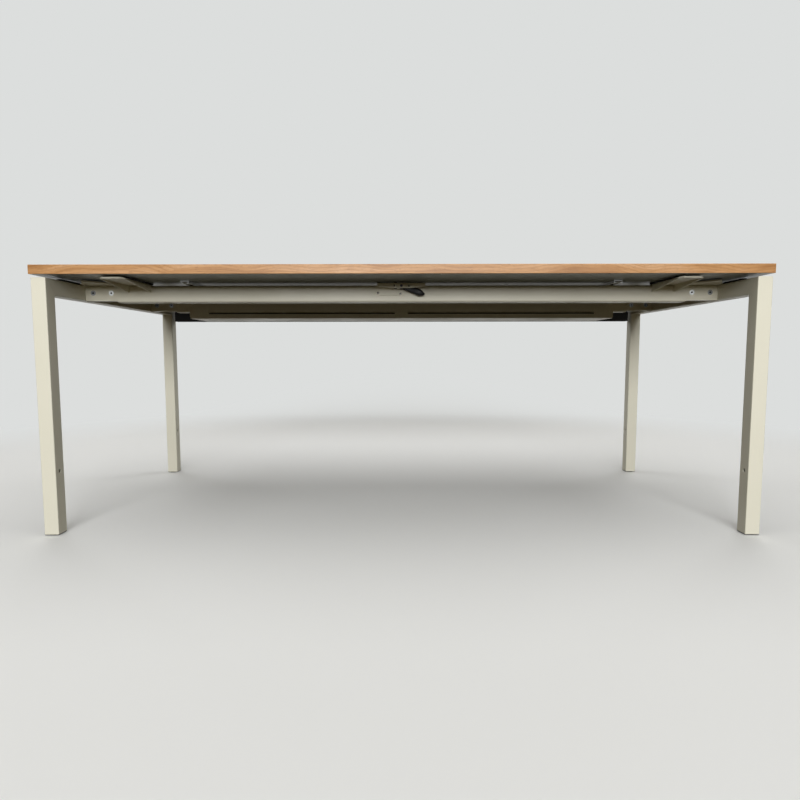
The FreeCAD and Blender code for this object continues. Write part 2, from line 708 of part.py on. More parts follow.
def hanger(middle, foot_width, head_width, rise):
    """A strap welded to the beam and the tray; a wider head has its sides bent forward."""
    face = REAR_BEAM - SHEET
    head = REAR_BEAM_FOOT + rise
    half = foot_width / 2
    strap = box(middle - half, middle + half, face, REAR_BEAM, TRAY_TOP - HANGER_OVERLAP, head)
    if head_width > foot_width:
        waist = head - HANGER_EAR_DROP
        wide = head_width / 2
        strap = strap.fuse(box(middle - wide, middle + wide, face, REAR_BEAM, waist, head))
        ear = [
            (REAR_BEAM, head), (face - HANGER_EAR, head),
            (face - HANGER_EAR_FOOT, waist), (REAR_BEAM, waist),
        ]
        for edge in (middle - wide, middle + wide - SHEET):
            strap = strap.fuse(prism("X", ear, edge, edge + SHEET))
    return strap.removeSplitter()


def build_hangers():
    end = TRAY_END - END_HANGER_WIDTH / 2
    left = hanger(-end, END_HANGER_WIDTH, END_HANGER_WIDTH, END_HANGER_RISE)
    parts["left_tray_hanger"] = left
    parts["middle_tray_hanger"] = hanger(0.0, MID_HANGER_WIDTH, MID_HANGER_HEAD, MID_HANGER_RISE)
    parts["right_tray_hanger"] = other_side(left)


def build_duct():
    top = TRAY_FOOT + DUCT_HEIGHT
    wall = DUCT_SHEET
    end = X_IN - DUCT_END_GAP
    outside = box(-end, end, DUCT_FRONT, DUCT_BACK, TRAY_FOOT, top)
    inside = box(
        -end + wall, end - wall, DUCT_FRONT + wall, DUCT_BACK - wall, TRAY_FOOT + wall, top + MARGIN
    )
    parts["rear_cable_duct"] = outside.cut(inside)


build_top()
build_slides()
build_end_frames()
build_feet()
build_beams()
build_supports()
build_lock_cover()
build_lock_plate()
build_lever()
build_plunger()
build_tray()
build_hangers()
build_duct()

os.makedirs("parts", exist_ok=True)
for node, shape in parts.items():
    shape.exportStep("parts/" + node + ".step")
print(len(parts), "nodes")
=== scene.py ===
import math

import bmesh
import bpy
from mathutils import Matrix, Vector


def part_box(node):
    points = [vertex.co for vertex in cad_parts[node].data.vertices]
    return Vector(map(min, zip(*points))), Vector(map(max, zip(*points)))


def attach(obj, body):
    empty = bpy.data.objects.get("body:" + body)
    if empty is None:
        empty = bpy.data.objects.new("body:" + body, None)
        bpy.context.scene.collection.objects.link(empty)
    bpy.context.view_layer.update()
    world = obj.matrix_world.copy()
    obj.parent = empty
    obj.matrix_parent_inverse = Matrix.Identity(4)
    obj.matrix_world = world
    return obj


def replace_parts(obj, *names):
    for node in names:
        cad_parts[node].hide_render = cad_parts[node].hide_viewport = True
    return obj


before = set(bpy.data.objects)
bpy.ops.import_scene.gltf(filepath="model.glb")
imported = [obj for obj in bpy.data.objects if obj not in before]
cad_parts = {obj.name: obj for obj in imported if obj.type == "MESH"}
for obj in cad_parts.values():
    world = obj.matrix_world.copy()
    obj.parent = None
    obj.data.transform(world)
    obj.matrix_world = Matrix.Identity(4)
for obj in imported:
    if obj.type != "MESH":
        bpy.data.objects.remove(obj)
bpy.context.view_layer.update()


# End frames: two welded frames of 40 mm square steel tube, the legs mitred to a deeper cross rail.
# The mitres are welded, ground nearly flush and powder coated with the tube, so that only a faint
# seam shows where leg and rail meet.

CORNERS = ("front_left", "front_right", "rear_left", "rear_right")
NOISE_SPAN = {"From Min": 0.3, "From Max": 0.7}  # where nearly all values of a noise texture lie


def linear(colour):
    """An sRGB hex colour as linear RGBA."""
    shares = [int(colour[start:start + 2], 16) / 255 for start in (1, 3, 5)]
    return tuple(c / 12.92 if c <= 0.04045 else ((c + 0.055) / 1.055) ** 2.4 for c in shares) + (1.0,)


def add_node(tree, kind, settings=None, links=None):
    """One node, with its settings by property, input name or input number, and what feeds it."""
    node = tree.nodes.new(kind)
    for key, value in (settings or {}).items():
        if key == "stops":
            ramp = node.color_ramp.elements
            for index, (position, colour) in enumerate(value):
                stop = ramp[index] if index < 2 else ramp.new(position)
                stop.position = position
                stop.color = colour
        elif isinstance(key, str) and hasattr(node, key):
            setattr(node, key, value)
        else:
            node.inputs[key].default_value = value
    for key, source in (links or {}).items():
        tree.links.new(source, node.inputs[key])
    return node


def new_finish(name, constants):
    """A material with one Principled shader, and the object coordinates that its patterns are drawn on."""
    material = bpy.data.materials.new(name)
    material.use_nodes = True
    tree = material.node_tree
    shader = tree.nodes["Principled BSDF"]
    for socket, value in constants.items():
        shader.inputs[socket].default_value = value
    return material, tree, shader, add_node(tree, "ShaderNodeTexCoord").outputs["Object"]


def powder_coat(name, tone, thin_tone, dull):
    """Polyester powder, melted on: to the eye an even colour with a soft sheen and a faint orange peel."""
    drift_size = 0.16
    peel_size = 0.0035  # the real ripple is about 1.5 mm wide; drawn coarser, so that the sheen breaks up
    glossier, duller = 0.05, 0.07
    material, tree, shader, place = new_finish(name, {"IOR": 1.5, "Specular IOR Level": 0.22})
    drift = add_node(tree, "ShaderNodeTexNoise", {"Scale": 1 / drift_size, "Detail": 4.0}, {"Vector": place})
    peel = add_node(tree, "ShaderNodeTexNoise", {"Scale": 1 / peel_size, "Detail": 2.0}, {"Vector": place})
    colour = add_node(
        tree, "ShaderNodeMix", {"data_type": "RGBA", 6: linear(tone), 7: linear(thin_tone)},
        {0: drift.outputs["Fac"]},
    )
    sheen = add_node(
        tree, "ShaderNodeMapRange", {**NOISE_SPAN, "To Min": dull - glossier, "To Max": dull + duller},
        {"Value": drift.outputs["Fac"]},
    )
    ripple = add_node(
        tree, "ShaderNodeBump", {"Strength": 0.12, "Distance": 0.0004}, {"Height": peel.outputs["Fac"]},
    )
    tree.links.new(colour.outputs[2], shader.inputs["Base Color"])
    tree.links.new(sheen.outputs["Result"], shader.inputs["Roughness"])
    tree.links.new(ripple.outputs["Normal"], shader.inputs["Normal"])
    return material


def coat(material, *nodes):
    """Gives carried-over solids a finish."""
    for node in nodes:
        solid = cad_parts[node].data
        solid.materials.clear()
        solid.materials.append(material)


cream_coat = powder_coat("cream_powder_coat", "#E8E5D5", "#E1DECC", dull=0.36)
coat(cream_coat, *[corner + "_leg" for corner in CORNERS], "left_cross_rail", "right_cross_rail")


# Mitre seams: a weld bead between leg and rail, ground down to a low line under the coat.
# One line crosses each side of a corner, from the outer top edge down to the inner corner.

SEAM_WIDTH = 0.0016
SEAM_RISE = 0.00022
TUBE_ROUND = 0.0025


def new_piece(name, work, finish, body):
    """A finished mesh in its finish, as a piece that rides on a body."""
    mesh = bpy.data.meshes.new(name)
    work.to_mesh(mesh)
    work.free()
    mesh.materials.append(finish)
    piece = bpy.data.objects.new(name, mesh)
    bpy.context.scene.collection.objects.link(piece)
    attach(piece, body)
    return piece


def closed_loft(work, rings):
    """A skin over rings with the same number of points, closed at both ends."""
    for first, second in zip(rings, rings[1:]):
        for side in range(len(first)):
            following = (side + 1) % len(first)
            work.faces.new((first[side], first[following], second[following], second[side]))
    work.faces.new(rings[0][::-1])
    work.faces.new(rings[-1])


def seam_ridge(work, start, end, out):
    """A low three-sided ridge along a line, its crest standing out of the surface."""
    along = (end - start).normalized()
    side = along.cross(out) * SEAM_WIDTH / 2
    sunk = -out * SEAM_RISE
    rings = []
    for point in (start, end):
        rings.append([work.verts.new(point + shift) for shift in (side + sunk, out * SEAM_RISE, sunk - side)])
    closed_loft(work, rings)


work = bmesh.new()
for corner in CORNERS:
    rail_low, rail_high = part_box(corner.split("_")[1] + "_cross_rail")
    leg_low, leg_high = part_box(corner + "_leg")
    outer_y, inner_y = (leg_low.y, leg_high.y) if corner.startswith("front") else (leg_high.y, leg_low.y)
    inward = TUBE_ROUND if inner_y > outer_y else -TUBE_ROUND
    for x, out in ((leg_low.x, Vector((-1, 0, 0))), (leg_high.x, Vector((1, 0, 0)))):
        top = Vector((x, outer_y + inward, rail_high.z - TUBE_ROUND))
        foot = Vector((x, inner_y - inward / 2, rail_low.z + TUBE_ROUND / 2))
        seam_ridge(work, top, foot, out)
bmesh.ops.recalc_face_normals(work, faces=work.faces)
new_piece("mitre_seams", work, cream_coat, "frame")


# Leg plugs: black polypropylene plugs pushed into the leg ends, with a thin rim that shows under the tube.
# Moulded in a spark-eroded tool, which leaves a fine even grain and a dull sheen.


def moulding(name, tone, second_tone, dull, shine):
    """A moulded plastic or rubber: to the eye a dull skin with a fine grain and slightly polished patches."""
    grain_size = 0.0012  # the real grain is about 0.3 mm; drawn coarser, so that it shows
    patch_size = 0.03
    polished, rougher = 0.1, 0.08
    material, tree, shader, place = new_finish(name, {"IOR": 1.49, "Specular IOR Level": shine})
    grain = add_node(tree, "ShaderNodeTexNoise", {"Scale": 1 / grain_size, "Detail": 1.0}, {"Vector": place})
    patch = add_node(tree, "ShaderNodeTexNoise", {"Scale": 1 / patch_size, "Detail": 3.0}, {"Vector": place})
    colour = add_node(
        tree, "ShaderNodeMix", {"data_type": "RGBA", 6: linear(tone), 7: linear(second_tone)},
        {0: patch.outputs["Fac"]},
    )
    sheen = add_node(
        tree, "ShaderNodeMapRange", {**NOISE_SPAN, "To Min": dull - polished, "To Max": dull + rougher},
        {"Value": patch.outputs["Fac"]},
    )
    relief = add_node(
        tree, "ShaderNodeBump", {"Strength": 0.25, "Distance": 0.0002}, {"Height": grain.outputs["Fac"]},
    )
    tree.links.new(colour.outputs[2], shader.inputs["Base Color"])
    tree.links.new(sheen.outputs["Result"], shader.inputs["Roughness"])
    tree.links.new(relief.outputs["Normal"], shader.inputs["Normal"])
    return material


black_moulding = moulding("black_polypropylene", "#0E0E0E", "#171716", dull=0.6, shine=0.12)
coat(black_moulding, "leg_plugs")


# Levelling feet: a black moulded hexagon pad on an M8 stem that screws into the plug.
# The pad's corners and rims are rounded. The stem carries its rolled thread, which shows when a foot
# is let down.

FOOT_SIDES = 6
FOOT_CORNER = 0.002
FOOT_RIM = 0.0005
LEVEL = 1e-7  # the most that the two ends of a level edge differ in height
STEM_RADIUS = 0.004
STEM_POINT = 0.9  # what is left of the radius at the last turn
THREAD_PITCH = 0.00125
THREAD_DEPTH = 0.00065
THREAD_FLAT = 1.35  # above 1, so that the crests are flattened
THREAD_SIDES = 24
THREAD_STEPS = 6


def thread_radius(height, turn):
    """The stem's radius at a height and a share of a turn."""
    phase = (height / THREAD_PITCH - turn) % 1.0
    ridge = min(1.0, THREAD_FLAT * (1.0 - abs(2.0 * phase - 1.0)))
    return STEM_RADIUS - THREAD_DEPTH * (1.0 - ridge)


def add_stem(work, centre, low, high):
    """A closed threaded rod."""
    steps = round((high - low) / THREAD_PITCH * THREAD_STEPS)
    rings = []
    for step in range(steps + 1):
        height = low + (high - low) * step / steps
        taper = 1.0 if step < steps - THREAD_STEPS else STEM_POINT
        ring = []
        for side in range(THREAD_SIDES):
            turn = side / THREAD_SIDES
            radius = taper * thread_radius(height, turn)
            angle = math.tau * turn
            ring.append(work.verts.new((
                centre.x + radius * math.cos(angle), centre.y + radius * math.sin(angle), height,
            )))
        rings.append(ring)
    closed_loft(work, rings)


pad_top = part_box("leg_plugs")[0].z
for corner in CORNERS:
    node = corner + "_foot"
    low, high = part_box(node)
    centre = (low + high) / 2
    pad_radius = (high.x - low.x) / 2
    work = bmesh.new()
    rim = []
    for side in range(FOOT_SIDES):
        angle = math.tau * side / FOOT_SIDES
        rim.append(work.verts.new((
            centre.x + pad_radius * math.cos(angle), centre.y + pad_radius * math.sin(angle), low.z,
        )))
    pad = bmesh.ops.extrude_face_region(work, geom=[work.faces.new(rim)])
    raised = [v for v in pad["geom"] if isinstance(v, bmesh.types.BMVert)]
    bmesh.ops.translate(work, verts=raised, vec=(0, 0, pad_top - low.z))
    bmesh.ops.recalc_face_normals(work, faces=work.faces)
    upright = [e for e in work.edges if abs(e.verts[0].co.z - e.verts[1].co.z) > FOOT_RIM]
    bmesh.ops.bevel(work, geom=upright, offset=FOOT_CORNER, segments=4, affect="EDGES", profile=0.5)
    flat = [e for e in work.edges if abs(e.verts[0].co.z - e.verts[1].co.z) < LEVEL]
    bmesh.ops.bevel(
        work, geom=flat, offset=FOOT_RIM, segments=2, affect="EDGES", profile=0.5, clamp_overlap=True,
    )
    add_stem(work, centre, pad_top - FOOT_RIM, high.z)
    foot = new_piece(
        corner + "_levelling_pad", work, black_moulding, corner + "_levelling_foot",
    )
    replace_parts(foot, node)


# Beams and tongues: two roll-formed channels, open at the back, that slide over stub tubes on the rails.
# Cold-rolled steel sheet with round front corners, in the same cream coat as the end frames.

coat(cream_coat, "front_beam", "rear_beam", *[corner + "_tongue" for corner in CORNERS])


# Weld beads: short fillet welds that hold the tongues to the rails and the support arms to the beams.
# Each is a row of overlapping drops, coated over, which leaves a soft rippled line in the corner.

BEAD_PITCH = 0.0016
BEAD_WIDTH = 0.0042
BEAD_LEAST, BEAD_MOST = 0.82, 1.12  # how the drops' size varies
BEAD_SEED = 4
DROP_SIDES, DROP_RINGS = 8, 6
BEAM_ROUND = 0.007


def sockets(tree, side, *rows):
    """Named sockets of a geometry tree, as a dict of socket identifiers."""
    return {
        name: tree.interface.new_socket(name, in_out=side, socket_type=kind).identifier
        for name, kind in rows
    }


def dressed(name, work, tree, inputs, values):
    """A guide mesh run through a geometry tree and turned into a plain mesh."""
    mesh = bpy.data.meshes.new(name)
    work.to_mesh(mesh)
    work.free()
    guide = bpy.data.objects.new(name + "_guide", mesh)
    bpy.context.scene.collection.objects.link(guide)
    modifier = guide.modifiers.new(tree.name, "NODES")
    modifier.node_group = tree
    for key, value in values.items():
        modifier[inputs[key]] = value
    evaluated = guide.evaluated_get(bpy.context.evaluated_depsgraph_get())
    made = bpy.data.meshes.new_from_object(evaluated)
    made.name = name
    bpy.data.objects.remove(guide)
    piece = bpy.data.objects.new(name, made)
    bpy.context.scene.collection.objects.link(piece)
    return piece


bead_tree = bpy.data.node_groups.new("weld_beads", "GeometryNodeTree")
bead_inputs = sockets(
    bead_tree, "INPUT", ("Seam lines", "NodeSocketGeometry"), ("Bead pitch", "NodeSocketFloat"),
    ("Bead width", "NodeSocketFloat"), ("Seed", "NodeSocketInt"), ("Finish", "NodeSocketMaterial"),
)
sockets(bead_tree, "OUTPUT", ("Beads", "NodeSocketGeometry"))
given = bead_tree.nodes.new("NodeGroupInput").outputs
lines = add_node(bead_tree, "GeometryNodeMeshToCurve", None, {"Mesh": given["Seam lines"]})
spaced = add_node(
    bead_tree, "GeometryNodeResampleCurve", {"mode": "LENGTH"},
    {"Curve": lines.outputs["Curve"], "Length": given["Bead pitch"]},
)
radius = add_node(bead_tree, "ShaderNodeMath", {"operation": "MULTIPLY", 1: 0.5}, {0: given["Bead width"]})
drop = add_node(
    bead_tree, "GeometryNodeMeshUVSphere", {"Segments": DROP_SIDES, "Rings": DROP_RINGS},
    {"Radius": radius.outputs[0]},
)
uneven = add_node(
    bead_tree, "FunctionNodeRandomValue", {"data_type": "FLOAT", 2: BEAD_LEAST, 3: BEAD_MOST},
    {"Seed": given["Seed"]},
)
row = add_node(
    bead_tree, "GeometryNodeInstanceOnPoints", None,
    {"Points": spaced.outputs["Curve"], "Instance": drop.outputs["Mesh"], "Scale": uneven.outputs[1]},
)
solid_row = add_node(bead_tree, "GeometryNodeRealizeInstances", None, {"Geometry": row.outputs["Instances"]})
smooth_row = add_node(
    bead_tree, "GeometryNodeSetShadeSmooth", None, {"Geometry": solid_row.outputs["Geometry"]},
)
coated_row = add_node(
    bead_tree, "GeometryNodeSetMaterial", None,
    {"Geometry": smooth_row.outputs["Geometry"], "Material": given["Finish"]},
)
add_node(bead_tree, "NodeGroupOutput", None, {"Beads": coated_row.outputs["Geometry"]})

work = bmesh.new()
weld_lines = []
for corner in CORNERS:
    low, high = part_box(corner + "_tongue")
    root = low.x if corner.endswith("left") else high.x
    weld_lines.append([(root, low.y, low.z), (root, high.y, low.z), (root, high.y, high.z)])
    low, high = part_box(corner + "_support_arm")
    beam_low, beam_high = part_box(corner.split("_")[0] + "_beam")
    for x in (low.x, high.x):
        weld_foot = (x, beam_low.y, low.z + BEAD_WIDTH / 4)
        weld_lines.append([weld_foot, (x, beam_low.y, beam_high.z - BEAM_ROUND)])
for line in weld_lines:
    points = [work.verts.new(point) for point in line]
    for start, end in zip(points, points[1:]):
        work.edges.new((start, end))
welds = dressed("frame_welds", work, bead_tree, bead_inputs, {
    "Bead pitch": BEAD_PITCH, "Bead width": BEAD_WIDTH, "Seed": BEAD_SEED, "Finish": cream_coat,
})
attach(welds, "frame")


# Beam screws: eight M8 countersunk socket screws pull the beams' faces against the tongues.
# Zinc-plated steel with a fine satin drag, with painted shade in the hexagon socket.
# The front screws nearer the middle are bright; the others are toned a darker grey, which on the shaded rear
# beam is painted shade.

SCREW_SIDES = 36
SCREW_HEAD = 0.0077
SCREW_EDGE = 0.00015
SCREW_SUNK = 0.0001
SCREW_SHANK = 0.0039
SCREW_SINK = 0.0019
SCREW_LENGTH = 0.0115
# the rear screws' full darker grey is painted shade; the outer front screws are toned darker grey too
SCREW_ROWS = (  # beam, distance from the rail, and share of darker grey
    ("front_beam", 0.023, 0.85), ("front_beam", 0.078, 0.0),
    ("rear_beam", 0.023, 1.0), ("rear_beam", 0.078, 1.0),
)
SCREW_DROP = 0.022
SCREW_SEED = 7
SOCKET_ACROSS = 0.005
SOCKET_DEPTH = 0.0034
SOCKET_TAPER, SOCKET_FLARE = 0.98, 1.1  # the socket's width at its floor and at its broken rim


def treated_steel(name, tone, dark_tone, socket_shade_tone, second_tone, dull):
    """Plated or blackened steel: to the eye a clouded metal sheen with fine drag marks.

    Shade is painted dark where the mesh marks a recess; its greying turns the colour a darker grey.
    """
    drag_size = 0.0006  # the real marks are about 0.1 mm wide; drawn coarser, so that they show
    cloud_size = 0.008
    spread = 0.06
    material, tree, shader, place = new_finish(name, {"Metallic": 1.0})
    drag = add_node(tree, "ShaderNodeTexNoise", {"Scale": 1 / drag_size, "Detail": 2.0}, {"Vector": place})
    cloud = add_node(tree, "ShaderNodeTexNoise", {"Scale": 1 / cloud_size, "Detail": 3.0}, {"Vector": place})
    colour = add_node(
        tree, "ShaderNodeMix", {"data_type": "RGBA", 6: linear(tone), 7: linear(dark_tone)},
        {0: cloud.outputs["Fac"]},
    )
    # toned to a darker grey by the mesh's greying; on the rear beam's screws this is painted shade
    greying = add_node(tree, "ShaderNodeAttribute", {"attribute_name": "greying"})
    greyed = add_node(
        tree, "ShaderNodeMix", {"data_type": "RGBA", 7: linear(second_tone)},
        {0: greying.outputs["Fac"], 6: colour.outputs[2]},
    )
    # painted shade: the colour is darkened where the mesh marks a recess
    recess = add_node(tree, "ShaderNodeAttribute", {"attribute_name": "recess"})
    socket_shaded = add_node(
        tree, "ShaderNodeMix", {"data_type": "RGBA", 7: linear(socket_shade_tone)},
        {0: recess.outputs["Fac"], 6: greyed.outputs[2]},
    )
    sheen = add_node(
        tree, "ShaderNodeMapRange", {"To Min": dull - spread, "To Max": dull + spread},
        {"Value": drag.outputs["Fac"]},
    )
    tree.links.new(socket_shaded.outputs[2], shader.inputs["Base Color"])
    tree.links.new(sheen.outputs["Result"], shader.inputs["Roughness"])
    return material


def ring_at(work, radius, depth, across=None):
    """A ring of points facing -Y: round, or a hexagon with the given width across its flats."""
    points = []
    for side in range(SCREW_SIDES):
        angle = math.tau * side / SCREW_SIDES
        reach = radius
        if across:
            sixth = (angle + math.pi / 6) % (math.pi / 3) - math.pi / 6
            reach = across / 2 / math.cos(sixth)
        points.append(work.verts.new((reach * math.cos(angle), depth, reach * math.sin(angle))))
    return points


def socket_screw(work):
    """A closed socket screw turned about Y, its face at Y 0 and its shank towards +Y."""
    recess = work.verts.layers.float.new("recess")
    rings = [
        ring_at(work, 0, SOCKET_DEPTH, SOCKET_ACROSS * SOCKET_TAPER),
        ring_at(work, 0, SCREW_EDGE, SOCKET_ACROSS),
        ring_at(work, 0, 0, SOCKET_ACROSS * SOCKET_FLARE),
        ring_at(work, SCREW_HEAD - SCREW_EDGE, 0),
        ring_at(work, SCREW_HEAD, SCREW_EDGE),
        ring_at(work, SCREW_SHANK, SCREW_SINK),
        ring_at(work, SCREW_SHANK, SCREW_LENGTH - SCREW_EDGE),
        ring_at(work, SCREW_SHANK - SCREW_EDGE, SCREW_LENGTH),
    ]
    closed_loft(work, rings)
    # painted shade: the socket's floor and walls are marked as recess, so their colour is darkened
    for point in rings[0] + rings[1]:
        point[recess] = 1.0
    bmesh.ops.recalc_face_normals(work, faces=work.faces)


set_tree = bpy.data.node_groups.new("fittings_on_points", "GeometryNodeTree")
set_inputs = sockets(
    set_tree, "INPUT", ("Places", "NodeSocketGeometry"), ("Fitting", "NodeSocketObject"),
    ("Turn", "NodeSocketFloat"), ("Seed", "NodeSocketInt"), ("Finish", "NodeSocketMaterial"),
)
sockets(set_tree, "OUTPUT", ("Fittings", "NodeSocketGeometry"))
given = set_tree.nodes.new("NodeGroupInput").outputs
fitting = add_node(set_tree, "GeometryNodeObjectInfo", None, {"Object": given["Fitting"]})
turn = add_node(
    set_tree, "FunctionNodeRandomValue", {"data_type": "FLOAT", 2: 0.0},
    {3: given["Turn"], "Seed": given["Seed"]},
)
about_y = add_node(set_tree, "ShaderNodeCombineXYZ", None, {"Y": turn.outputs[1]})
placed = add_node(
    set_tree, "GeometryNodeInstanceOnPoints", None, {
        "Points": given["Places"], "Instance": fitting.outputs["Geometry"],
        "Rotation": about_y.outputs["Vector"],
    },
)
real = add_node(set_tree, "GeometryNodeRealizeInstances", None, {"Geometry": placed.outputs["Instances"]})
finished = add_node(
    set_tree, "GeometryNodeSetMaterial", None,
    {"Geometry": real.outputs["Geometry"], "Material": given["Finish"]},
)
add_node(set_tree, "NodeGroupOutput", None, {"Fittings": finished.outputs["Geometry"]})


def set_fittings(name, fitting_work, places, finish, body):
    """One fitting repeated at places, each with its share of darker grey and turned about Y by chance."""
    template = bpy.data.objects.new(name + "_template", bpy.data.meshes.new(name + "_template"))
    fitting_work.to_mesh(template.data)
    fitting_work.free()
    bpy.context.scene.collection.objects.link(template)
    work = bmesh.new()
    greying_layer = work.verts.layers.float.new("greying")
    for x, y, z, greying in places:
        work.verts.new((x, y, z))[greying_layer] = greying
    piece = dressed(name, work, set_tree, set_inputs, {
        "Fitting": template, "Turn": math.tau, "Seed": SCREW_SEED, "Finish": finish,
    })
    bpy.data.objects.remove(template)
    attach(piece, body)


zinc_plate = treated_steel(
    "zinc_plated_steel", tone="#F2F4F5", dark_tone="#DDE1E3", socket_shade_tone="#17181A", second_tone="#8B8E90",
    dull=0.42,
)
rail_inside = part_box("right_cross_rail")[0].x
places = []
for beam, distance, greying in SCREW_ROWS:
    low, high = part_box(beam)
    for side in (-1, 1):
        places.append((side * (rail_inside - distance), low.y + SCREW_SUNK, high.z - SCREW_DROP, greying))
work = bmesh.new()
socket_screw(work)
set_fittings("beam_screws", work, places, zinc_plate, "frame")


# Support arms and corner lugs: folded and flat 4 mm steel welded on the beams and rails to carry the top.
# Laser cut, so the edges are square but rounded a little by deburring and by the coat.

PLATE_EDGE = 0.0005
JOIN_DISTANCE = 1e-6
FLAT_ANGLE = math.radians(0.5)
SHARP_ANGLE = math.radians(30)


def softened(name, node, edge, finish, body):
    """A solid's shape with its sharp edges rounded off; it stands for the node."""
    work = bmesh.new()
    work.from_mesh(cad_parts[node].data)
    bmesh.ops.remove_doubles(work, verts=work.verts, dist=JOIN_DISTANCE)
    bmesh.ops.dissolve_limit(
        work, angle_limit=FLAT_ANGLE, use_dissolve_boundaries=False, verts=work.verts, edges=work.edges,
    )
    sharp = [e for e in work.edges if e.is_manifold and e.calc_face_angle() > SHARP_ANGLE]
    bmesh.ops.bevel(
        work, geom=sharp, offset=edge, offset_type="OFFSET", segments=2, profile=0.5, affect="EDGES",
        clamp_overlap=True,
    )
    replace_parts(new_piece(name, work, finish, body), node)


for corner in CORNERS:
    for part in ("support_arm", "corner_lug"):
        node = corner + "_" + part
        softened(node + "_plate", node, PLATE_EDGE, cream_coat, "frame")


# Glides and rail pads: black plastic strips along the arms and onto the beams, on which the top slides, and
# low strips on the cross rails, just clear of the top, which catch it when it is leaned on.
# Moulded, with rounded rims, and pressed on.

GLIDE_EDGE = 0.0012
GLIDE_WIDTH = 0.068
GLIDE_SETBACK = 0.024
GLIDE_ON_BEAM = 0.020
RAIL_PAD_WIDTH = 0.016
RAIL_PAD_LENGTH = 0.090
RAIL_PAD_INSET = 0.003
RAIL_PAD_CLEARANCE = 0.0025
RAIL_PAD_END_GAP = 0.020


def add_block(work, size, centre):
    """A plain block."""
    block = bmesh.ops.create_cube(work, size=1.0)["verts"]
    bmesh.ops.scale(work, verts=block, vec=size)
    bmesh.ops.translate(work, verts=block, vec=centre)


def rounded_strips(name, work, node):
    """Blocks with their rims rounded, as one black piece that stands for the node."""
    bmesh.ops.bevel(
        work, geom=work.edges[:], offset=GLIDE_EDGE, segments=2, profile=0.5, affect="EDGES",
        clamp_overlap=True,
    )
    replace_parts(new_piece(name, work, black_moulding, "frame"), node)


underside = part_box("top_backer")[0].z
work = bmesh.new()
for corner in CORNERS:
    low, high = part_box(corner + "_support_arm")
    front = low.y + GLIDE_SETBACK
    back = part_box(corner.split("_")[0] + "_beam")[0].y + GLIDE_ON_BEAM
    add_block(
        work, (GLIDE_WIDTH, back - front, underside - high.z),
        ((low.x + high.x) / 2, (front + back) / 2, (high.z + underside) / 2),
    )
rounded_strips("support_glide_strips", work, "support_glides")

low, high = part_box("rail_pads")
rail_pad_top = high.z - RAIL_PAD_CLEARANCE
rail_pad_x = rail_inside + RAIL_PAD_INSET + RAIL_PAD_WIDTH / 2
rail_pad_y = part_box("front_beam")[0].y - RAIL_PAD_END_GAP - RAIL_PAD_LENGTH / 2
work = bmesh.new()
for x in (-rail_pad_x, rail_pad_x):
    for y in (rail_pad_y, low.y + high.y - rail_pad_y):
        add_block(
            work, (RAIL_PAD_WIDTH, RAIL_PAD_LENGTH, rail_pad_top - low.z),
            (x, y, (low.z + rail_pad_top) / 2),
        )
rounded_strips("rail_pad_strips", work, "rail_pads")


# Slide blocks: T-shaped black plastic blocks screwed on the beams, which run in the top's rails.
# Plain mouldings of the leg plugs' plastic, hidden between beam and top but for their ends.

for corner in CORNERS:
    coat(black_moulding, corner + "_slide_block")


# Lock cover and plate: a folded sheet with three holes that hides the lock, and the plate that carries
# its lever. Punched steel sheet, its edges just broken, in the same cream coat as the frame.

COVER_EDGE = 0.0003
softened("lock_cover_sheet", "lock_cover", COVER_EDGE, cream_coat, "frame")
softened("lock_plate_sheet", "lock_plate", COVER_EDGE, cream_coat, "frame")


# Lock plate screws: two small pan-headed screws with hexagon sockets, which hold the plate on the beam.
# Zinc plated like the beam screws, but dulled to a darker grey, with painted shade in the socket.

PAN_HEAD = 0.0036
PAN_RISE = 0.0020
PAN_PROFILE = ((0.05, 0.62), (0.25, 0.84), (0.6, 0.96), (1.0, 1.0))  # shares of the rise and of the radius
PAN_SOCKET_FLOOR = 0.0005
PAN_SOCKET_ACROSS = 0.0029
PAN_SOCKET_MOUTH = 0.0030
PAN_LEFT = (0.0075, 0.0072)  # from the plate's lower left corner
PAN_RIGHT = (-0.0143, 0.0044)  # from its lower right corner
UNGREYED = 0.0


def pan_screw(work):
    """A closed pan-headed screw with a hexagon socket, its seat at Y 0."""
    recess = work.verts.layers.float.new("recess")
    rings = [
        ring_at(work, 0, -PAN_SOCKET_FLOOR, PAN_SOCKET_ACROSS), ring_at(work, 0, -PAN_RISE, PAN_SOCKET_MOUTH),
    ]
    for fall, share in PAN_PROFILE:
        rings.append(ring_at(work, PAN_HEAD * share, (fall - 1) * PAN_RISE))
    closed_loft(work, rings)
    # painted shade: the socket floor is marked as recess, so its colour is darkened
    for point in rings[0]:
        point[recess] = 1.0
    bmesh.ops.recalc_face_normals(work, faces=work.faces)


low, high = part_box("lock_plate")
places = [
    (low.x + PAN_LEFT[0], low.y, low.z + PAN_LEFT[1], UNGREYED),
    (high.x + PAN_RIGHT[0], low.y, low.z + PAN_RIGHT[1], UNGREYED),
]
work = bmesh.new()
pan_screw(work)
dull_zinc = treated_steel(
    "dull_zinc_plate", tone="#8F8E88", dark_tone="#74736D", socket_shade_tone="#1C1C1A", second_tone="#74736D",
    dull=0.24,
)
set_fittings("lock_plate_screws", work, places, dull_zinc, "frame")


# Lock pin, plunger and pad: a steel pin for the lever, and a square steel plunger with a rubber tip
# that presses on the underside. Turned and drawn steel, blackened in an oil bath, which leaves it nearly
# black with a metal sheen; the matt tip is vulcanised on.

black_steel = treated_steel(
    "blackened_steel", tone="#3A3A3B", dark_tone="#262627", socket_shade_tone="#0C0C0C", second_tone="#262627",
    dull=0.24,
)
coat(black_steel, "lever_pin", "lock_plunger")
coat(moulding("lock_rubber", "#1A1A1A", "#262625", dull=0.75, shine=0.12), "lock_pad")


